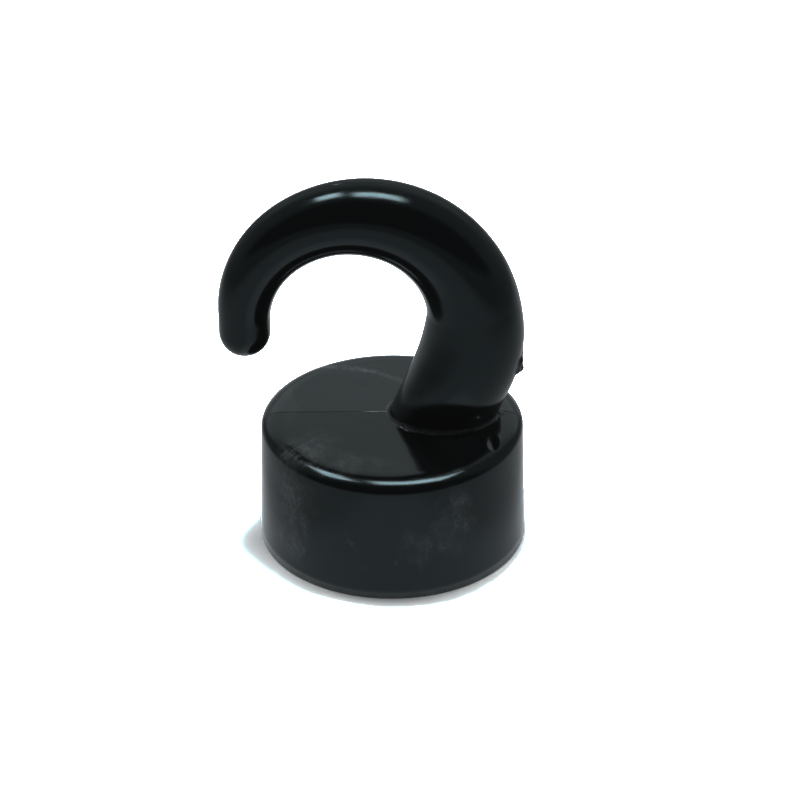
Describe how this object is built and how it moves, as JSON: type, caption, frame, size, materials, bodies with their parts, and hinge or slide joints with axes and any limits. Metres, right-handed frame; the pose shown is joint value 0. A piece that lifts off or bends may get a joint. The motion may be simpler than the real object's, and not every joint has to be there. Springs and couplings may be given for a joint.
{
  "type": "magnetic hook",
  "caption": "Plastic-cased magnetic hook: a round cap over a shallow pot magnet, with a thick tapered hook rising off centre from its top to hang cords, straps or rings.",
  "frame": {"origin": "centre of the gripping face, on the underside of the rubber pad", "axes": "+Z from the gripping face through the cap to the hook's crown; the hook lies in the XZ plane, with its tip and mouth towards -X and its neck towards +X"},
  "size_m": [0.0351, 0.031, 0.0447],
  "materials": {
    "case_plastic": "polished injection moulding",
    "plated_steel": "bright zinc plated",
    "nickel": "nickel plated",
    "epoxy": "cast epoxy",
    "pad_rubber": "matt, fine grain",
    "spring_steel": "plain spring steel",
    "insert_brass": "machined, knurled"
  },
  "bodies": {
    "root": {"hook_housing": "case_plastic", "steel_pot": "plated_steel", "ring_magnet": "nickel", "magnet_bond": "epoxy", "grip_pad": "pad_rubber", "flat_washer": "plated_steel", "spring_washer": "spring_steel", "retaining_screw": "plated_steel", "threaded_insert": "insert_brass"}
  },
  "joints": []
}
